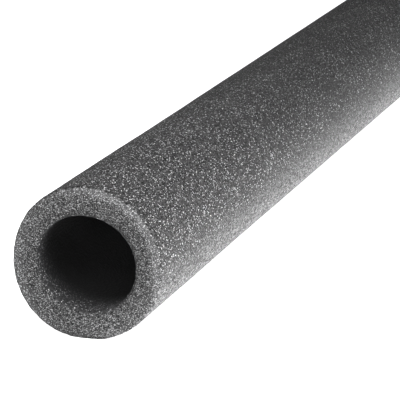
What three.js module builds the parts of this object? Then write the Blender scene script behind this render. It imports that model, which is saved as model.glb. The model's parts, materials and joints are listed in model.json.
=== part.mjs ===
// One length of pipe lagging: a round tube of closed-cell foam with a plain bore, which slips over a pipe.
// It lies on its side along X, on the floor at Z = 0, with its middle over the origin. Sizes are in millimetres.

import * as THREE from "three";

// The pipe that the lagging is sold for, and the play all round it in the bore
const PIPE_DIAMETER = 35;
const PIPE_PLAY = 0.5;

// The foam
const WALL = 9;
const LENGTH = 1000;

// The knife-cut ends are soft, so their edges are round: the rim outside, and the mouth of the bore
const RIM_ROUNDING = 1.5;
const MOUTH_ROUNDING = 0.8;

// How finely the round shapes are divided. With flats in fours, one lies on the floor and the width stays true
const FLATS = 64;
const CHORDS_PER_EDGE = 4;

const FOAM_GREY = 0x666666;

const boreRadius = PIPE_DIAMETER / 2 + PIPE_PLAY;
const outerRadius = boreRadius + WALL;

// The wall cut lengthwise, as a closed outline: x is the distance from the bore's axis, y runs along it
function wallOutline() {
  const end = LENGTH / 2;
  const rim = Math.min(RIM_ROUNDING, WALL / 2);
  const mouth = Math.min(MOUTH_ROUNDING, WALL / 2);
  const outline = new THREE.Path();
  outline.moveTo(outerRadius, -end + rim);
  outline.lineTo(outerRadius, end - rim);
  outline.absarc(outerRadius - rim, end - rim, rim, 0, Math.PI / 2);
  outline.lineTo(boreRadius + mouth, end);
  outline.absarc(boreRadius + mouth, end - mouth, mouth, Math.PI / 2, Math.PI);
  outline.lineTo(boreRadius, -end + mouth);
  outline.absarc(boreRadius + mouth, -end + mouth, mouth, Math.PI, 1.5 * Math.PI);
  outline.lineTo(outerRadius - rim, -end);
  outline.absarc(outerRadius - rim, -end + rim, rim, 1.5 * Math.PI, 2 * Math.PI);
  // An arc of a path gets two chords for each division asked for
  return outline.getPoints(CHORDS_PER_EDGE / 2);
}

// The outline turned round the axis. Each flat lies at the true radius, and so its corners lie a little outside it
function foamTube() {
  const flatToCorner = 1 / Math.cos(Math.PI / FLATS);
  const turned = wallOutline().map((point) => new THREE.Vector2(point.x * flatToCorner, point.y));
  const halfFlat = Math.PI / FLATS;
  return new THREE.LatheGeometry(turned, FLATS, halfFlat);
}

const foam = new THREE.MeshStandardMaterial({ color: FOAM_GREY, roughness: 0.9, metalness: 0 });

const tube = new THREE.Mesh(foamTube(), foam);
tube.name = "foam_tube";
tube.rotation.z = -Math.PI / 2;
tube.position.z = outerRadius;

const lagging = new THREE.Group();
lagging.add(tube);

export default lagging;
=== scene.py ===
import json
import math

import bpy
from bpy.props import FloatProperty, FloatVectorProperty, IntProperty, PointerProperty
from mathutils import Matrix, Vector


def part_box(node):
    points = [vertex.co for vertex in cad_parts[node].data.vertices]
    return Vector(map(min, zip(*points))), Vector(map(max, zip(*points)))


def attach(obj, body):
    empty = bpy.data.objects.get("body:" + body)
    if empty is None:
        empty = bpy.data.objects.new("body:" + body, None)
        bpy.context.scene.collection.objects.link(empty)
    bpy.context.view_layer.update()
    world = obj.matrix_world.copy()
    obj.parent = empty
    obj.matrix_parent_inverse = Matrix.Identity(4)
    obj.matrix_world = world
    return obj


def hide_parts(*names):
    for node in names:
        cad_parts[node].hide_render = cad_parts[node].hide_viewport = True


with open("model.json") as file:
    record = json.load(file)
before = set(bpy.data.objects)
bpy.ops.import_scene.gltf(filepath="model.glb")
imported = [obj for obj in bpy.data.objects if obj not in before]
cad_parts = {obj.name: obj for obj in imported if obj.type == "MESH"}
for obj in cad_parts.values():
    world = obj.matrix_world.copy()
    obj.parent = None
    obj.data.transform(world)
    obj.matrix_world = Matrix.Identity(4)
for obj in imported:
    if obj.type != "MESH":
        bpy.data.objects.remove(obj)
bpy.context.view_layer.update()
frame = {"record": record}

bl_info = {
    "name": "Foam pipe lagging",
    "version": (1, 0, 0),
    "blender": (4, 5, 0),
    "location": "3D View > Sidebar > Lagging",
    "description": "One length of foam pipe lagging, with its cut ends, its skin and its open bore",
    "category": "Object",
}

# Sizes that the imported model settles, in metres. The tube lies along X with its middle over the origin
FOAM_NODE = "foam_tube"
LOWEST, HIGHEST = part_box(FOAM_NODE)
TUBE_LENGTH = HIGHEST.x - LOWEST.x
OUTER_RADIUS = (HIGHEST.z - LOWEST.z) / 2
AXIS_HEIGHT = (HIGHEST.z + LOWEST.z) / 2
NEAR_END = Vector((LOWEST.x, 0, AXIS_HEIGHT))
# The end's mount lies in the middle of the wall, level with the axis
WALL_MIDDLE = frame["record"]["mounts"][0]["pos_m"][1]
BORE_RADIUS = 2 * WALL_MIDDLE - OUTER_RADIUS

MM = 0.001
DISTANCE = {"subtype": "DISTANCE", "unit": "LENGTH"}
ANGLE = {"subtype": "ANGLE", "unit": "ROTATION"}
COLOUR = {"subtype": "COLOR", "size": 3, "min": 0, "max": 1}


class FoamSettings(bpy.types.PropertyGroup):
    """Sizes and colours of the foam tube"""

    tube_length: FloatProperty(
        name="Length", description="From one cut end to the other", default=TUBE_LENGTH, **DISTANCE)
    outer_radius: FloatProperty(
        name="Outer radius", description="From the axis to the skin", default=OUTER_RADIUS, **DISTANCE)
    bore_radius: FloatProperty(
        name="Bore radius", description="From the axis to the wall of the bore",
        default=BORE_RADIUS, **DISTANCE)
    rim_rounding: FloatProperty(
        name="Rim rounding", description="Radius of the soft outer edge of a cut end",
        default=1.2 * MM, **DISTANCE)
    mouth_rounding: FloatProperty(
        name="Mouth rounding", description="Radius of the soft edge of the bore's mouth",
        default=1.2 * MM, **DISTANCE)
    turn_steps: IntProperty(
        name="Steps round the tube", description="How many faces go round the tube", default=288, min=12)
    bore_flattening: FloatProperty(
        name="Bore flattening", description="How far the soft bore is out of round",
        default=0.55 * MM, **DISTANCE)
    flattening_angle: FloatProperty(
        name="Flattening angle", description="Where the bore is widest, down from level",
        default=math.radians(15), **ANGLE)
    lip_pull: FloatProperty(
        name="Lip pull", description="How far the knife drew the mouth of the bore inwards",
        default=0.7 * MM, **DISTANCE)
    bore_offset: FloatProperty(
        name="Bore offset", description="How far the bore lies off the middle", default=0.3 * MM, **DISTANCE)
    rim_flare: FloatProperty(
        name="Rim flare", description="How far the knife pushed the rim outwards",
        default=1.3 * MM, **DISTANCE)
    flare_angle: FloatProperty(
        name="Flare angle", description="Where the rim is pushed out and the bore is offset, down from level",
        default=math.radians(138), **ANGLE)
    end_squash: FloatProperty(
        name="End squash", description="How far the skin is out of round near the ends",
        default=0.25 * MM, **DISTANCE)
    squash_angle: FloatProperty(
        name="Squash angle", description="Where the ends are widest, down from level",
        default=math.radians(57), **ANGLE)
    mouth_wear: FloatProperty(
        name="Mouth wear", description="How far the mouth's edge is rubbed off on the side of the flare",
        default=1.3 * MM, **DISTANCE)
    edge_raggedness: FloatProperty(
        name="Edge raggedness", description="How far the cut edges stray", default=0.16 * MM, **DISTANCE)
    unevenness: FloatProperty(
        name="Unevenness", description="Height of the soft lumps of the skin", default=0.12 * MM, **DISTANCE)
    unevenness_size: FloatProperty(
        name="Lump size", description="Width of the soft lumps of the skin", default=14 * MM, **DISTANCE)
    cell_relief: FloatProperty(
        name="Cell relief", description="Depth of the cells that the knife opened",
        default=0.16 * MM, **DISTANCE)
    cell_size: FloatProperty(
        name="Cell size", description="Width of one cell of the foam", default=0.38 * MM, **DISTANCE)
    # The skin's colour is paler and the cut face's darker than the foam itself: part of the difference is
    # painted light and painted shade, for how the light falls on the skin and on the ends
    skin_colour: FloatVectorProperty(
        name="Skin", description="Colour of the outer skin", default=(0.135, 0.135, 0.137), **COLOUR)
    cut_colour: FloatVectorProperty(
        name="Cut face", description="Colour of the open cells at the ends",
        default=(0.06, 0.06, 0.061), **COLOUR)
    bore_colour: FloatVectorProperty(
        name="Bore", description="Colour of the wall of the bore", default=(0.036, 0.036, 0.037), **COLOUR)


class StageSettings(bpy.types.PropertyGroup):
    """Camera, floor and lights"""

    camera_place: FloatVectorProperty(
        name="Camera", description="Where the camera stands", default=(-1.24118, -0.28751, 0.26281),
        size=3, subtype="TRANSLATION", unit="LENGTH", precision=5)
    camera_pitch: FloatProperty(
        name="Pitch", description="How far the camera looks down", default=math.radians(15.021), **ANGLE)
    camera_heading: FloatProperty(
        name="Heading", description="Which way the camera looks, from +X towards +Y",
        default=math.radians(18.395), **ANGLE)
    focal_length: FloatProperty(
        name="Focal length", description="On a 36 mm sensor, in millimetres", default=217.28)
    floor_size: FloatProperty(
        name="Floor size", description="Width of the pale floor", default=60, **DISTANCE)
    floor_colour: FloatVectorProperty(
        name="Floor", description="Colour of the pale floor", default=(0.85, 0.85, 0.85), **COLOUR)
    floor_glow: FloatProperty(
        name="Floor glow", description="Light of the pale floor itself, as of a light table",
        default=1.0, min=0)
    sky_light: FloatProperty(
        name="Sky", description="Strength of the even light from all round", default=0.2, min=0)
    softbox_light: FloatProperty(
        name="Softboxes", description="Strength of the soft lights", default=1, min=0)


def add(tree, kind, sockets=None, **settings):
    """Adds a node to a tree, and fills its inputs from values or from other nodes' outputs."""
    node = tree.nodes.new(kind)
    for name, value in settings.items():
        setattr(node, name, value)
    for key, value in (sockets or {}).items():
        if isinstance(value, bpy.types.NodeSocket):
            tree.links.new(value, node.inputs[key])
        else:
            node.inputs[key].default_value = value
    return node


def sum_up(tree, operation, *values):
    """The output of a Math node over numbers and other outputs."""
    return add(tree, "ShaderNodeMath", dict(enumerate(values)), operation=operation).outputs[0]


def product(tree, value, *factors):
    """Numbers and outputs multiplied one after another."""
    for factor in factors:
        value = sum_up(tree, "MULTIPLY", value, factor)
    return value


def rest_of(tree, share):
    """What a share leaves of the whole."""
    return sum_up(tree, "SUBTRACT", 1, share)


def vector_sum(tree, operation, *values):
    """The vector that a Vector Math node gives for vectors and other outputs."""
    return add(tree, "ShaderNodeVectorMath", dict(enumerate(values)), operation=operation).outputs[0]


def vector_measure(tree, operation, *values):
    """The number that a Vector Math node gives for vectors and other outputs, such as a length."""
    node = add(tree, "ShaderNodeVectorMath", dict(enumerate(values)), operation=operation)
    return node.outputs["Value"]


def scaled(tree, vector, amount):
    """A vector or a colour made larger or smaller by an amount."""
    return add(tree, "ShaderNodeVectorMath", {0: vector, "Scale": amount}, operation="SCALE").outputs[0]


def parts_of(tree, vector):
    """The outputs X, Y and Z of a vector."""
    return add(tree, "ShaderNodeSeparateXYZ", {0: vector}).outputs


def together(tree, **parts):
    """A vector made of its parts X, Y and Z."""
    return add(tree, "ShaderNodeCombineXYZ", parts).outputs[0]


def spread(tree, value, low, high, to_low=0.0, to_high=1.0, smooth=False):
    """Maps a value from one range to another, and holds it at the ends."""
    return add(tree, "ShaderNodeMapRange", {
        "Value": value, "From Min": low, "From Max": high, "To Min": to_low, "To Max": to_high,
    }, interpolation_type="SMOOTHSTEP" if smooth else "LINEAR").outputs[0]


def show(thing):
    """Puts a new object into the scene."""
    bpy.context.scene.collection.objects.link(thing)
    return thing


# The outline of the wall, which the geometry nodes turn round the axis

# The first step from an end, how much longer each next step is, and the longest
SKIN_STEPS = (0.6 * MM, 1.05, 8 * MM)
BORE_STEPS = (0.6 * MM, 1.12, 20 * MM)
# The step across a cut face, and how many steps go round the rim's and the mouth's edge
CUT_STEP = 0.42 * MM
RIM_STEPS = 6
MOUTH_STEPS = 4


def graded_steps(length, first, growth, longest):
    """Distances along a length, close together at both ends and wide apart in the middle."""
    half = [0.0]
    step = first
    while half[-1] + step < length / 2:
        half.append(half[-1] + step)
        step = min(step * growth, longest)
    return half + [length - distance for distance in reversed(half)]


def rounding(middle, radius, start, steps):
    """Points on a quarter turn, without its two ends, from a start in degrees."""
    turn = [math.radians(start + 90 * k / steps) for k in range(1, steps)]
    return [(middle[0] + radius * math.sin(a), middle[1] + radius * math.cos(a)) for a in turn]


def across(x, start, stop):
    """Points over a cut face, from one distance from the axis to another."""
    steps = round(abs(stop - start) / CUT_STEP)
    return [(x, start + (stop - start) * k / steps) for k in range(steps + 1)]


def wall_outline(foam):
    """Points round the wall cut lengthwise, each as place along the tube and distance from its axis.

    They run along the skin, in over the far end, back along the bore and out over the near end."""
    end = foam.tube_length / 2
    rim, mouth = foam.rim_rounding, foam.mouth_rounding
    outer, bore = foam.outer_radius, foam.bore_radius
    along_skin = graded_steps(foam.tube_length - 2 * rim, *SKIN_STEPS)
    along_bore = graded_steps(foam.tube_length - 2 * mouth, *BORE_STEPS)
    return (
        [(x - end + rim, outer) for x in along_skin]
        + rounding((end - rim, outer - rim), rim, 0, RIM_STEPS)
        + across(end, outer - rim, bore + mouth)
        + rounding((end - mouth, bore + mouth), mouth, 90, MOUTH_STEPS)
        + [(end - mouth - x, bore) for x in along_bore]
        + rounding((mouth - end, bore + mouth), mouth, 180, MOUTH_STEPS)
        + across(-end, bore + mouth, outer - rim)
        + rounding((rim - end, outer - rim), rim, 270, RIM_STEPS)
    )


def outline_object(foam):
    """The outline as loose points, which the geometry nodes read by number."""
    mesh = bpy.data.meshes.new("foam_outline")
    mesh.from_pydata([(x, 0, r) for x, r in wall_outline(foam)], [], [])
    return show(bpy.data.objects.new("foam_lagging", mesh))


# The geometry nodes

# The named inputs, by their kind
LENGTH_INPUTS = (
    "Axis height", "Half length", "Outer radius", "Bore radius", "Bore flattening", "Bore offset",
    "Lip pull", "Rim flare", "End squash", "Mouth wear", "Edge raggedness", "Unevenness", "Lump size",
    "Cell relief", "Cell size",
)
ANGLE_INPUTS = ("Flattening angle", "Flare angle", "Squash angle")
MATERIAL_INPUTS = ("Skin", "Cut face", "Bore")

# How far from the cut each form of the soft ends reaches, or between which distances it fades
LIP_REACH = 12 * MM
FLARE_REACH = 5 * MM
SQUASH_START = 6 * MM
SQUASH_FADES = (55 * MM, 110 * MM)
SQUASH_AT_CUT = 0.5
WEAR_FADES = (0.3 * MM, 5 * MM)
# The share of the flare and of the wear that is all on one side, and powers that narrow that side
ONE_SIDED = 0.85
WEAR_NARROWS = 4
FLARE_NARROWS = 2
# How far the wear moves the mouth's edge, outwards and into the tube
WEAR_OUTWARDS = 0.6
WEAR_INTO = 0.7
# Foam within this distance of the end is cut face, and from this share of the way in it is bore
CUT_DEPTH = 0.3 * MM
BORE_SHARE = 0.93
# The amount from which a stored mark counts, and the distance within which points become one
MARK_COUNTS = 0.4
MERGE_DISTANCE = 0.01 * MM
# Noise stays near its middle, so the lumps are drawn out as much as this
LUMPS_DRAWN_OUT = 2
# The ragged edges: width of one bend, where they fade, and how much stronger they are at the cut
RAGGED_WIDTH = 2.5 * MM
RAGGED_FADES = (1 * MM, 8 * MM)
RAGGED_AT_CUT = 3
# The cells: how many go into the width of one, and where they fade on the skin and the bore
CELLS_A_WIDTH = 0.7
CELLS_FADE = (4 * MM, 40 * MM)
CELLS_BESIDE_CUT = 0.5
# The least that a place may be. It only limits the height
FLOOR_LIMIT = (-10, -10, 0)


def tree_input(tree, name, kind, subtype=None):
    """A named input of a geometry node tree."""
    socket = tree.interface.new_socket(name, in_out="INPUT", socket_type=kind)
    if subtype:
        socket.subtype = subtype


def add_sockets(tree):
    """The named inputs of the foam's tree, and its output."""
    tree_input(tree, "Outline", "NodeSocketGeometry")
    tree_input(tree, "Turn steps", "NodeSocketInt")
    for name in LENGTH_INPUTS:
        tree_input(tree, name, "NodeSocketFloat", "DISTANCE")
    for name in ANGLE_INPUTS:
        tree_input(tree, name, "NodeSocketFloat", "ANGLE")
    for name in MATERIAL_INPUTS:
        tree_input(tree, name, "NodeSocketMaterial")
    tree.interface.new_socket("Foam", in_out="OUTPUT", socket_type="NodeSocketGeometry")


def turned_foam_tree():
    """Geometry nodes that turn the outline into the foam tube, press it out of round and roughen it."""
    tree = bpy.data.node_groups.new("turned_foam", "GeometryNodeTree")
    add_sockets(tree)
    given = add(tree, "NodeGroupInput").outputs

    # A grid with one row for each point of the outline, rolled up so that its edges meet. The half added
    # to a point's number keeps rounding from putting it into the column before
    size = add(tree, "GeometryNodeAttributeDomainSize", {"Geometry": given["Outline"]})
    count = size.outputs["Point Count"]
    rows = sum_up(tree, "ADD", count, 1)
    columns = sum_up(tree, "ADD", given["Turn steps"], 1)
    grid = add(tree, "GeometryNodeMeshGrid", {"Vertices X": columns, "Vertices Y": rows}).outputs["Mesh"]
    number = add(tree, "GeometryNodeInputIndex").outputs[0]
    column = sum_up(tree, "FLOOR", sum_up(tree, "DIVIDE", sum_up(tree, "ADD", number, 0.5), rows))
    row = sum_up(tree, "SUBTRACT", number, product(tree, column, rows))
    place = add(tree, "GeometryNodeSampleIndex", {
        "Geometry": given["Outline"],
        "Value": add(tree, "GeometryNodeInputPosition").outputs[0],
        "Index": sum_up(tree, "MODULO", row, count),
    }, data_type="FLOAT_VECTOR").outputs[0]
    place = parts_of(tree, place)
    along, radius = place["X"], place["Z"]
    turned = sum_up(tree, "MODULO", column, given["Turn steps"])
    turned = sum_up(tree, "DIVIDE", turned, given["Turn steps"])
    angle = product(tree, turned, 2 * math.pi)
    to_end = sum_up(tree, "SUBTRACT", given["Half length"], sum_up(tree, "ABSOLUTE", along))
    inward = spread(tree, radius, given["Outer radius"], given["Bore radius"])

    def swing(name, waves):
        """From 1 at a named angle to -1 half a wave away, with so many waves round the tube."""
        away = sum_up(tree, "SUBTRACT", angle, given[name])
        return sum_up(tree, "COSINE", product(tree, away, waves))

    # The soft bore is a little out of round and off the middle, and the knife drew its lip inwards
    pressed = product(tree, swing("Flattening angle", 2), given["Bore flattening"])
    lip = product(tree, spread(tree, to_end, 0, LIP_REACH, 1, 0, smooth=True), given["Lip pull"])
    drawn = sum_up(tree, "SUBTRACT", pressed, lip)
    towards = swing("Flare angle", 1)
    drawn = sum_up(tree, "ADD", drawn, product(tree, towards, given["Bore offset"]))
    radius = sum_up(tree, "ADD", radius, product(tree, drawn, inward))

    # The knife pushed the rim outwards, mostly on one side
    side = sum_up(tree, "POWER", spread(tree, towards, -1, 1), WEAR_NARROWS)
    narrow = sum_up(tree, "POWER", side, FLARE_NARROWS)
    flare = sum_up(tree, "MULTIPLY_ADD", narrow, ONE_SIDED, 1 - ONE_SIDED)
    fade = spread(tree, to_end, 0, FLARE_REACH, 1, 0, smooth=True)
    flare = product(tree, flare, given["Rim flare"], fade)

    # The skin near the ends was squashed a little out of round, as cut foam is
    squash = product(
        tree, swing("Squash angle", 2), given["End squash"],
        spread(tree, to_end, 0, SQUASH_START, SQUASH_AT_CUT, 1),
        spread(tree, to_end, *SQUASH_FADES, 1, 0, smooth=True),
    )
    pushed = product(tree, sum_up(tree, "ADD", flare, squash), rest_of(tree, inward))
    radius = sum_up(tree, "ADD", radius, pushed)

    # The mouth's edge is rubbed off, mostly on the side of the flare
    above_bore = sum_up(tree, "SUBTRACT", radius, given["Bore radius"])
    from_edge = vector_measure(tree, "LENGTH", together(tree, X=to_end, Y=above_bore))
    wear_and_highlight = product(
        tree, spread(tree, from_edge, *WEAR_FADES, 1, 0, smooth=True),
        sum_up(tree, "MULTIPLY_ADD", side, ONE_SIDED, 1 - ONE_SIDED), given["Mouth wear"],
    )
    radius = sum_up(tree, "MULTIPLY_ADD", wear_and_highlight, WEAR_OUTWARDS, radius)
    into = product(tree, sum_up(tree, "SIGN", along), -WEAR_INTO)
    along = sum_up(tree, "MULTIPLY_ADD", wear_and_highlight, into, along)

    # Angles start level on the side of -Y and go down
    level = product(tree, sum_up(tree, "COSINE", angle), radius)
    drop = product(tree, sum_up(tree, "SINE", angle), radius)
    height = sum_up(tree, "SUBTRACT", given["Axis height"], drop)
    rolled = together(tree, X=along, Y=product(tree, level, -1), Z=height)
    tube = add(tree, "GeometryNodeSetPosition", {"Geometry": grid, "Position": rolled}).outputs[0]
    at_end = sum_up(tree, "LESS_THAN", to_end, CUT_DEPTH)
    in_bore = sum_up(tree, "GREATER_THAN", inward, BORE_SHARE)
    for name, value in (("cut", at_end), ("bore", in_bore), ("to_end", to_end)):
        tube = add(tree, "GeometryNodeStoreNamedAttribute", {"Geometry": tube, "Name": name, "Value": value},
                   data_type="FLOAT", domain="POINT").outputs[0]
    tube = add(tree, "GeometryNodeMergeByDistance", {
        "Geometry": tube, "Distance": MERGE_DISTANCE,
    }).outputs[0]

    def stored(name):
        """A value that was stored on the points."""
        return add(tree, "GeometryNodeInputNamedAttribute", {"Name": name}, data_type="FLOAT").outputs[0]

    def centred(pattern, amount):
        """A pattern of 0 to 1, moved to lie about 0, and made as high as told."""
        return product(tree, sum_up(tree, "SUBTRACT", pattern, 0.5), amount)

    # Soft lumps all over, ragged cut edges, and opened cells on the cut faces
    where = add(tree, "GeometryNodeInputPosition").outputs[0]
    bends = add(tree, "ShaderNodeTexNoise", {"Vector": where, "Scale": 1 / RAGGED_WIDTH, "Detail": 2})
    ragged = centred(bends.outputs["Fac"], given["Edge raggedness"])
    ragged = product(tree, ragged, spread(tree, stored("to_end"), *RAGGED_FADES, RAGGED_AT_CUT, 0))
    lumps = add(tree, "ShaderNodeTexNoise", {
        "Vector": where, "Scale": sum_up(tree, "DIVIDE", 1, given["Lump size"]), "Detail": 1.5,
    })
    lumps = product(tree, centred(lumps.outputs["Fac"], given["Unevenness"]), LUMPS_DRAWN_OUT)
    cells = add(tree, "ShaderNodeTexVoronoi", {
        "Vector": where, "Scale": sum_up(tree, "DIVIDE", CELLS_A_WIDTH, given["Cell size"]),
    })
    cells = centred(cells.outputs["Distance"], given["Cell relief"])
    beside_cut = spread(tree, stored("to_end"), *CELLS_FADE, CELLS_BESIDE_CUT, 0)
    share = sum_up(tree, "MAXIMUM", stored("cut"), beside_cut)
    lift = sum_up(tree, "ADD", lumps, sum_up(tree, "MULTIPLY_ADD", cells, share, ragged))
    outwards = add(tree, "GeometryNodeInputNormal").outputs["Normal"]
    offset = scaled(tree, outwards, lift)
    tube = add(tree, "GeometryNodeSetPosition", {"Geometry": tube, "Offset": offset}).outputs[0]

    # Nothing sinks into the floor: the lowest foam lies flat on it
    flat = vector_sum(tree, "MAXIMUM", add(tree, "GeometryNodeInputPosition").outputs[0], FLOOR_LIMIT)
    tube = add(tree, "GeometryNodeSetPosition", {"Geometry": tube, "Position": flat}).outputs[0]
    tube = add(tree, "GeometryNodeSetShadeSmooth", {"Geometry": tube}).outputs[0]
    tube = add(tree, "GeometryNodeRealizeInstances", {"Geometry": tube}).outputs[0]
    tube = add(tree, "GeometryNodeSetMaterial", {"Geometry": tube, "Material": given["Skin"]}).outputs[0]
    for name, part in (("Bore", "bore"), ("Cut face", "cut")):
        marked = add(tree, "FunctionNodeCompare", {
            "A": stored(part), "B": MARK_COUNTS,
        }, operation="GREATER_THAN")
        tube = add(tree, "GeometryNodeSetMaterial", {
            "Geometry": tube, "Selection": marked.outputs[0], "Material": given[name],
        }).outputs[0]
    tree.links.new(tube, add(tree, "NodeGroupOutput").inputs["Foam"])
    return tree


def make_by_nodes(piece, tree, values):
    """Runs a geometry node tree on a piece, and leaves the piece as the plain mesh that comes out."""
    modifier = piece.modifiers.new(tree.name, "NODES")
    modifier.node_group = tree
    for item in tree.interface.items_tree:
        if item.in_out == "INPUT" and item.name in values:
            modifier[item.identifier] = values[item.name]
    evaluated = piece.evaluated_get(bpy.context.evaluated_depsgraph_get())
    made = bpy.data.meshes.new_from_object(evaluated)
    made.name = piece.name
    piece.modifiers.remove(modifier)
    piece.data = made
    return piece


# The finishes of the foam

# Their lengths are in millimetres. A ramp says from where to where it runs, and then the amounts before
# and after it, which are 0 and 1 where they aren't given

# How far the pattern of cells moves with each seed
SEED_STEP = 7.3
# The part of a noise's range that it fills
NOISE_RANGE = (0.3, 0.7)
# From the middle of a cell to its edge
CELL_EDGE = (0.3, 0.75, 1, 0)


def finish_tree(name):
    """A new material, its node tree, and Object coordinates from the middle of the near end."""
    material = bpy.data.materials.new(name)
    material.use_nodes = True
    tree = material.node_tree
    tree.nodes.clear()
    place = add(tree, "ShaderNodeTexCoord").outputs["Object"]
    place = vector_sum(tree, "SUBTRACT", place, NEAR_END)
    return material, tree, vector_sum(tree, "MULTIPLY", place, (1 / MM,) * 3)


def unrolled(tree, parts, radius):
    """Place on the wall of the tube rolled out flat: along the tube, and round it from the top."""
    round_it = product(tree, sum_up(tree, "ARCTAN2", parts["Y"], parts["Z"]), radius)
    return together(tree, X=parts["X"], Y=round_it)


def distance_from_end(tree, parts, foam):
    """Distance along the tube from the nearer end."""
    return sum_up(tree, "PINGPONG", parts["X"], foam.tube_length / MM / 2)


def foam_cells(tree, place, size, seed):
    """Distance from the middle of each cell, from 0 to about 1, and a chance number for each cell."""
    moved = vector_sum(tree, "ADD", place, (seed * SEED_STEP,) * 3)
    cells = add(tree, "ShaderNodeTexVoronoi", {"Vector": moved, "Scale": 1 / size}, voronoi_dimensions="2D")
    chance = add(tree, "ShaderNodeSeparateColor", {0: cells.outputs["Color"]}).outputs["Red"]
    return cells.outputs["Distance"], chance


def patches(tree, place, size, low, high):
    """Soft uneven patches, from a low to a high amount."""
    cloud = add(tree, "ShaderNodeTexNoise", {"Vector": place, "Scale": 1 / size, "Detail": 2.5})
    return spread(tree, cloud.outputs["Fac"], *NOISE_RANGE, low, high)


def surface(tree, colour, tone, roughness, relief, depth, gloss=0.2):
    """A foam surface: its colour in some tone, its roughness, and a relief as deep as told."""
    bump = add(tree, "ShaderNodeBump", {"Height": relief, "Distance": depth * MM, "Strength": 1.0})
    shader = add(tree, "ShaderNodeBsdfPrincipled", {
        "Base Color": scaled(tree, tuple(colour), tone), "Roughness": roughness,
        "Specular IOR Level": gloss, "Normal": bump.outputs[0],
    })
    add(tree, "ShaderNodeOutputMaterial", {"Surface": shader.outputs[0]})


# The skin's fine cells and its coarser pits: the width of one, and a seed
SKIN_CELLS = (0.34, 1)
SKIN_PITS = (0.75, 4)
# The fine cells are drawn out a little along the tube
SKIN_STRETCH = (0.76, 1, 1)
# Ramps upwards to the upper half, and from the right side over to the top
UPPER_HALF = (-14, 6)
TOP = (-18, -4)
# Amounts on the lower and on the upper half: how much cells stand out, from which ground, and the level. The
# upper half's stronger grain is painted light, for grazing light on its cells, and its lower level makes up
# for the painted glints there
SKIN_CONTRAST = (0.8, 1.9)
SKIN_GROUND = (0.75, 0.25)
SKIN_LEVEL = (1.45, 0.62)
# Fine and coarse painted glints, painted highlights for light glancing off cells: how rare they are, as a
# power of chance, how bright, and where they show
GLINT_EDGE = (0.4, 0.85, 1, 0)
GLINT_RARITY = 36
GLINT_LIGHT = 40
COARSE_RARITY = 8
COARSE_LIGHT = 0.3
GLINT_PATCHES = (9, 0.35, 1.25)
GLINT_HEIGHT_POWER = 3
GLINTS_ALONG = (60, 200, 1, 0.31)
GLINTS_BEHIND_RIM = (0.5, 3, 0.4, 1)
# Holes and pits: the chance that a cell is one, on the lower and on the upper half, and their ramps
HOLE_CHANCE = (0.6, 0.4)
HOLE_DEPTH = (0, 0.1, 0, 0.9)
PIT_CHANCE = (0.57, 0.3)
PIT_DEPTH = (-0.07, 0.07, 0, 0.95)
PIT_EDGE = (0.2, 0.5, 1, 0)
# How holes and pits fade along the tube and on its top
FADING_ALONG = (80, 200, 0, 0.5)
FADING_ON_TOP = 0.25
# How much one cell of the lower half is darker or lighter than another
MOTTLE = (0, 1, -0.95, 0.95)
# The skin's broad shades: painted shade past the top, a darker top near the ends, soft patches, and a darker
# tone far along the tube
PAST_TOP = (-4, 9, 1, 0.64)
TOP_NEAR_ENDS = (30, 120, -0.14, 0.02)
SKIN_PATCHES = (30, 0.93, 1.07)
SHADE_ALONG = (40, 190, 1, 0.93)
# At this tone the skin's colour is nearly white, and no glint goes beyond it
BRIGHTEST = 7
# How much the pits and the cells weigh in the relief
PIT_WEIGHT = -2.0
CELL_WEIGHT = 0.6


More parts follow.
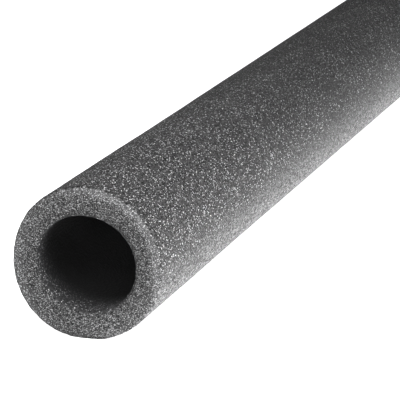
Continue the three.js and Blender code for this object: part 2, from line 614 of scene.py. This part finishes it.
def skin_finish(foam):
    """The outer skin: fine cells, some with painted glints and some holes, between dark pits, with painted
    shade past the top.
    """
    material, tree, place = finish_tree("foam_skin")
    parts = parts_of(tree, place)
    flat = unrolled(tree, parts, foam.outer_radius / MM)
    drawn_out = vector_sum(tree, "MULTIPLY", flat, SKIN_STRETCH)
    distance, chance = foam_cells(tree, drawn_out, *SKIN_CELLS)
    coarse, coarse_chance = foam_cells(tree, flat, *SKIN_PITS)
    from_end = distance_from_end(tree, parts, foam)
    dot = spread(tree, distance, *CELL_EDGE, smooth=True)
    upper = spread(tree, parts["Z"], *UPPER_HALF, smooth=True)
    top = spread(tree, parts["Y"], *TOP, smooth=True)

    def by_height(amounts):
        """An amount that differs between the lower and the upper half."""
        return spread(tree, upper, 0, 1, *amounts)

    # Fine cells, which stand out more on the upper half: painted light, for grazing light on the top's cells,
    # against even light on the lower half
    tone = product(tree, dot, chance, by_height(SKIN_CONTRAST))
    tone = sum_up(tree, "ADD", tone, by_height(SKIN_GROUND))
    tone = product(tree, tone, by_height(SKIN_LEVEL))

    # A few of them carry painted glints on the upper half, in patches, fewer far along the tube and right at
    # the rim
    full = spread(tree, distance, *GLINT_EDGE, smooth=True)
    painted_glint = product(tree, sum_up(tree, "POWER", chance, GLINT_RARITY), full, GLINT_LIGHT)
    coarse_glint = sum_up(tree, "POWER", coarse_chance, COARSE_RARITY)
    painted_glint = sum_up(tree, "MULTIPLY_ADD", coarse_glint, COARSE_LIGHT, painted_glint)
    amount = product(
        tree, patches(tree, place, *GLINT_PATCHES), sum_up(tree, "POWER", upper, GLINT_HEIGHT_POWER),
        spread(tree, from_end, *GLINTS_ALONG), spread(tree, from_end, *GLINTS_BEHIND_RIM),
    )
    tone = sum_up(tree, "MULTIPLY_ADD", painted_glint, amount, tone)

    # Others are dark holes, which fade along the tube and on its top
    fading = spread(tree, from_end, *FADING_ALONG)
    fading = sum_up(tree, "ADD", fading, product(tree, top, FADING_ON_TOP))
    unfaded = rest_of(tree, product(tree, fading, upper))
    hole = sum_up(tree, "SUBTRACT", by_height(HOLE_CHANCE), chance)
    hole = product(tree, spread(tree, hole, *HOLE_DEPTH), dot, unfaded)
    tone = product(tree, tone, rest_of(tree, hole))

    # The lower half is mottled, cell by cell
    mottle = product(tree, spread(tree, coarse_chance, *MOTTLE), rest_of(tree, upper))
    tone = product(tree, tone, sum_up(tree, "ADD", mottle, 1))

    # Dark pits, more of them on the lower half
    pit = spread(tree, coarse, *PIT_EDGE, smooth=True)
    chosen = sum_up(tree, "SUBTRACT", by_height(PIT_CHANCE), coarse_chance)
    pit = product(tree, pit, spread(tree, chosen, *PIT_DEPTH), unfaded)
    tone = product(tree, tone, rest_of(tree, pit))

    # Painted shade past the top, where it turns from the light; darker on the top near the ends and far along
    # the tube, in soft patches
    tone = product(tree, tone, spread(tree, parts["Y"], *PAST_TOP))
    top_near_ends = sum_up(tree, "MULTIPLY_ADD", top, spread(tree, from_end, *TOP_NEAR_ENDS), 1)
    tone = product(tree, tone, product(tree, top_near_ends, patches(tree, place, *SKIN_PATCHES)))
    tone = product(tree, tone, spread(tree, from_end, *SHADE_ALONG))
    tone = sum_up(tree, "MINIMUM", tone, BRIGHTEST)
    relief = sum_up(tree, "MULTIPLY_ADD", coarse, PIT_WEIGHT, product(tree, chance, CELL_WEIGHT))
    surface(tree, foam.skin_colour, tone, roughness=0.64, relief=relief, depth=0.1, gloss=0.18)
    return material


# The cells of a cut face and its coarser pits: the width of one, and a seed
CUT_CELLS = (0.3, 2)
CUT_PITS = (0.5, 5)
# The tone between the cells of a cut face, and how dark its dark cells are, by their chance
CUT_GROUND = 0.55
CUT_HOLES = (0.45, 0.3, 0, 0.95)
# Pale cells: how rare they are, as a power of chance, and how bright
CUT_RARITY = 5
CUT_LIGHT = 5.6
# Pits: from the middle of one to its edge, how dark they are, and their chance
CUT_PIT_EDGE = (0.15, 0.5, 1, 0)
CUT_PIT_SHADE = 0.4
CUT_PIT_CHANCE = (0.4, 0.2)
# The way towards the rim's painted highlight, up on the right, for a skin 27 mm from the axis, its ramp,
# and the part on the left that gets a little of the painted highlight too
HIGHLIGHT_WAY = (0, -0.82 / 27, 0.57 / 27)
HIGHLIGHT_RAMP = (0.1, 0.8, 0.15, 1)
HIGHLIGHT_LEFT = (15, 26, 0, 0.3)
# The rim's painted highlight over the distance from the axis, how much its cells stand out more, and how pale
# it is
RIM_RAMP = (22.3, 25.8)
RIM_CONTRAST = 0.45
RIM_LIGHT = 0.6
# The painted shade round the mouth over the distance from the axis, on its right, and the painted shadow at
# the very bottom, where the tube meets the floor
MOUTH_SHADE = (17.2, 20.2, 0.62, 1.0)
RIGHT_MOUTH = (18.5, 21.5, 1, 0)
RIGHT_SHADE = (-18, -6, 0.2, 0)
BOTTOM_SHADE = (-26, -23.5, 0.72, 1)


def cut_finish(foam):
    """The cut ends: opened cells, pale ones and dark ones, a smoother rim with a painted highlight, painted
    shade round the mouth and a painted shadow at the bottom.
    """
    material, tree, place = finish_tree("cut_foam")
    parts = parts_of(tree, place)
    flat = together(tree, X=parts["Y"], Y=parts["Z"])
    radius = vector_measure(tree, "LENGTH", flat)
    distance, chance = foam_cells(tree, flat, *CUT_CELLS)
    coarse, coarse_chance = foam_cells(tree, flat, *CUT_PITS)

    # Dark cells, pale cells, and coarser pits
    dot = spread(tree, distance, *CELL_EDGE, smooth=True)
    hole = product(tree, dot, spread(tree, chance, *CUT_HOLES))
    tone = sum_up(tree, "MULTIPLY_ADD", hole, -CUT_GROUND, CUT_GROUND)
    pale = product(tree, sum_up(tree, "POWER", chance, CUT_RARITY), CUT_LIGHT)
    tone = sum_up(tree, "MULTIPLY_ADD", dot, pale, tone)
    pit = product(tree, spread(tree, coarse, *CUT_PIT_EDGE, smooth=True), CUT_PIT_SHADE)
    pit = product(tree, pit, spread(tree, coarse_chance, *CUT_PIT_CHANCE))
    tone = product(tree, tone, rest_of(tree, pit))

    # A painted highlight makes the rim smoother and pale, mostly up on the right, where the light catches its
    # rounded edge
    wear_and_highlight = vector_measure(tree, "DOT_PRODUCT", place, HIGHLIGHT_WAY)
    wear_and_highlight = spread(tree, wear_and_highlight, *HIGHLIGHT_RAMP, smooth=True)
    rim = sum_up(tree, "ADD", wear_and_highlight, spread(tree, parts["Y"], *HIGHLIGHT_LEFT, smooth=True))
    rim = product(tree, rim, spread(tree, radius, *RIM_RAMP, smooth=True))
    tone = product(tree, tone, sum_up(tree, "MULTIPLY_ADD", rim, RIM_CONTRAST, 1))
    tone = sum_up(tree, "MULTIPLY_ADD", rim, RIM_LIGHT, tone)

    # Painted shade round the mouth, more so on the right, and a painted shadow at the very bottom, where the
    # tube meets the floor
    tone = product(tree, tone, spread(tree, radius, *MOUTH_SHADE, smooth=True))
    right = product(tree, spread(tree, radius, *RIGHT_MOUTH), spread(tree, parts["Y"], *RIGHT_SHADE))
    tone = product(tree, tone, rest_of(tree, right))
    tone = product(tree, tone, spread(tree, parts["Z"], *BOTTOM_SHADE, smooth=True))
    surface(tree, foam.cut_colour, tone, roughness=0.8, relief=distance, depth=0.12)
    return material


# The specks of the bore and its broader shades: the width of one, and a seed
BORE_SPECKS = (0.42, 3)
BORE_SHADES = (1.1, 6)
# What each millimetre along Y and Z adds to the depth in the bore, and the depths over which the specks end
# and the painted shade inwards comes in
DEPTH_LEAN = (0, 0.19, 0.11)
SPECKS_END = (1, 21)
# Specks: how rare they are, as a power of chance, and from the middle of one to its edge how bright
SPECK_RARITY = 12
SPECK_LIGHT = (0.2, 0.6, 20, 0)
# The ground that specks lie on, its uneven shades, and the painted shade that darkens it inwards
BORE_GROUND = 0.7
SHADE_RAMP = (0.15, 0.7, 0.6, 1.1)
MOUTH_LEVEL = 1.2
LOST_INSIDE = 0.75
# Where the painted light on the plain wall deep inside begins, and how pale it is from the right to the left
DEEP_RAMP = (12, 55)
DEEP_LIGHT = (-16, 8, 0.65, 1.15)


def bore_finish(foam):
    """The wall of the bore: smoother and darker than the outer skin, with pale specks at the mouth, painted
    shade that darkens it inwards, and painted light deep inside.
    """
    material, tree, place = finish_tree("bore_skin")
    parts = parts_of(tree, place)
    flat = unrolled(tree, parts, foam.bore_radius / MM)
    distance, chance = foam_cells(tree, flat, *BORE_SPECKS)
    coarse = foam_cells(tree, flat, *BORE_SHADES)[0]

    # Depth from the nearer mouth, which counts for more on the left and at the top, so that the painted shade
    # comes in sooner there
    lean = vector_measure(tree, "DOT_PRODUCT", place, DEPTH_LEAN)
    inside = sum_up(tree, "ADD", distance_from_end(tree, parts, foam), lean)
    clean = spread(tree, inside, *SPECKS_END, smooth=True)

    # Pale specks near the mouth, on a ground that painted shade darkens inwards
    light = spread(tree, distance, *SPECK_LIGHT, smooth=True)
    speck = product(tree, sum_up(tree, "POWER", chance, SPECK_RARITY), light, rest_of(tree, clean))
    shade = spread(tree, coarse, *SHADE_RAMP, smooth=True)
    tone = product(tree, sum_up(tree, "ADD", speck, BORE_GROUND), shade)
    tone = product(tree, tone, sum_up(tree, "MULTIPLY_ADD", clean, -LOST_INSIDE, MOUTH_LEVEL))

    # The wall deep inside is plain, with painted light that makes it paler, a little more so on the left
    deep = spread(tree, inside, *DEEP_RAMP, smooth=True)
    tone = sum_up(tree, "ADD", tone, product(tree, deep, spread(tree, parts["Y"], *DEEP_LIGHT)))
    surface(tree, foam.bore_colour, tone, roughness=0.7, relief=coarse, depth=0.15)
    return material


class LAGGING_OT_make_foam(bpy.types.Operator):
    """Make the foam tube"""

    bl_idname = "lagging.make_foam"
    bl_label = "Foam tube"

    def execute(self, context):
        foam = context.scene.lagging_foam
        piece = make_by_nodes(outline_object(foam), turned_foam_tree(), {
            "Turn steps": foam.turn_steps,
            "Axis height": AXIS_HEIGHT,
            "Half length": foam.tube_length / 2,
            "Outer radius": foam.outer_radius,
            "Bore radius": foam.bore_radius,
            "Bore flattening": foam.bore_flattening,
            "Flattening angle": foam.flattening_angle,
            "Lip pull": foam.lip_pull,
            "Bore offset": foam.bore_offset,
            "Rim flare": foam.rim_flare,
            "Flare angle": foam.flare_angle,
            "End squash": foam.end_squash,
            "Squash angle": foam.squash_angle,
            "Mouth wear": foam.mouth_wear,
            "Edge raggedness": foam.edge_raggedness,
            "Unevenness": foam.unevenness,
            "Lump size": foam.unevenness_size,
            "Cell relief": foam.cell_relief,
            "Cell size": foam.cell_size,
            "Skin": skin_finish(foam),
            "Cut face": cut_finish(foam),
            "Bore": bore_finish(foam),
        })
        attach(piece, "root")
        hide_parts(FOAM_NODE)
        return {"FINISHED"}


# The stage


def make_camera(stage):
    """A long lens that looks down a little, along the tube and across its near end."""
    data = bpy.data.cameras.new("camera")
    data.lens = stage.focal_length
    data.clip_start, data.clip_end = 0.05, 200
    camera = show(bpy.data.objects.new("camera", data))
    camera.location = stage.camera_place
    camera.rotation_euler = (math.pi / 2 - stage.camera_pitch, 0, stage.camera_heading - math.pi / 2)
    bpy.context.scene.camera = camera


def make_floor(stage):
    """A plain pale floor that glows a little."""
    half = stage.floor_size / 2
    mesh = bpy.data.meshes.new("floor")
    corners = [(-half, -half, 0), (half, -half, 0), (half, half, 0), (-half, half, 0)]
    mesh.from_pydata(corners, [], [(0, 1, 2, 3)])
    material = bpy.data.materials.new("pale_floor")
    material.use_nodes = True
    shader = material.node_tree.nodes["Principled BSDF"]
    shader.inputs["Base Color"].default_value = (*stage.floor_colour, 1)
    shader.inputs["Roughness"].default_value = 0.9
    shader.inputs["Specular IOR Level"].default_value = 0.1
    shader.inputs["Emission Color"].default_value = (1, 1, 1, 1)
    shader.inputs["Emission Strength"].default_value = stage.floor_glow
    mesh.materials.append(material)
    show(bpy.data.objects.new("floor", mesh))


def make_sky(stage):
    """Even pale light from all round."""
    world = bpy.data.worlds.new("even_light")
    world.use_nodes = True
    background = world.node_tree.nodes["Background"]
    background.inputs["Color"].default_value = (1, 1, 1, 1)
    background.inputs["Strength"].default_value = stage.sky_light
    bpy.context.scene.world = world


# Each soft light: its name, where it stands, what it shines at, how wide and high it is, and its watts
SOFTBOXES = (
    ("low_front", (-1.5, -0.15, 0.25), (-0.49, 0, 0.03), (0.4, 0.3), 4.0),
    ("high_front", (-0.8, 0.0, 0.4), (-0.48, 0, 0.03), (0.3, 0.3), 1.65),
    ("high_right", (-0.7, -0.22, 0.42), (-0.48, 0, 0.03), (0.3, 0.3), 1.6),
    ("right_light_table", (-0.01, -0.06, 0.001), (-0.01, -0.06, 1), (1.02, 0.12), 0.54),
)


def make_softbox(name, place, aim, size, power):
    """A rectangular soft light that shines from a place towards a point."""
    data = bpy.data.lights.new(name, "AREA")
    data.shape = "RECTANGLE"
    data.size, data.size_y = size
    data.energy = power
    light = show(bpy.data.objects.new(name, data))
    light.location = place
    light.rotation_euler = (Vector(aim) - Vector(place)).to_track_quat("-Z", "Y").to_euler()
    light.visible_camera = False


class LAGGING_OT_make_stage(bpy.types.Operator):
    """Make the camera, the floor and the lights"""

    bl_idname = "lagging.make_stage"
    bl_label = "Stage"

    def execute(self, context):
        stage = context.scene.lagging_stage
        make_camera(stage)
        make_floor(stage)
        make_sky(stage)
        for name, place, aim, size, power in SOFTBOXES:
            make_softbox(name, place, aim, size, power * stage.softbox_light)
        context.scene.view_settings.view_transform = "Standard"
        return {"FINISHED"}


class LAGGING_PT_panel(bpy.types.Panel):
    """Lists the settings and the operators in the 3D view's sidebar"""

    bl_label = "Foam pipe lagging"
    bl_idname = "LAGGING_PT_panel"
    bl_space_type = "VIEW_3D"
    bl_region_type = "UI"
    bl_category = "Lagging"

    def draw(self, context):
        for operator, settings in (
            (LAGGING_OT_make_stage, context.scene.lagging_stage),
            (LAGGING_OT_make_foam, context.scene.lagging_foam),
        ):
            box = self.layout.box()
            for name in settings.__annotations__:
                box.prop(settings, name)
            box.operator(operator.bl_idname)


CLASSES = (FoamSettings, StageSettings, LAGGING_OT_make_stage, LAGGING_OT_make_foam, LAGGING_PT_panel)


def register():
    for cls in CLASSES:
        bpy.utils.register_class(cls)
    bpy.types.Scene.lagging_foam = PointerProperty(type=FoamSettings)
    bpy.types.Scene.lagging_stage = PointerProperty(type=StageSettings)


def unregister():
    del bpy.types.Scene.lagging_stage
    del bpy.types.Scene.lagging_foam
    for cls in reversed(CLASSES):
        bpy.utils.unregister_class(cls)


def main():
    """Makes the stage and the foam tube."""
    register()
    bpy.ops.lagging.make_stage()
    bpy.ops.lagging.make_foam()


if __name__ == "__main__":
    main()
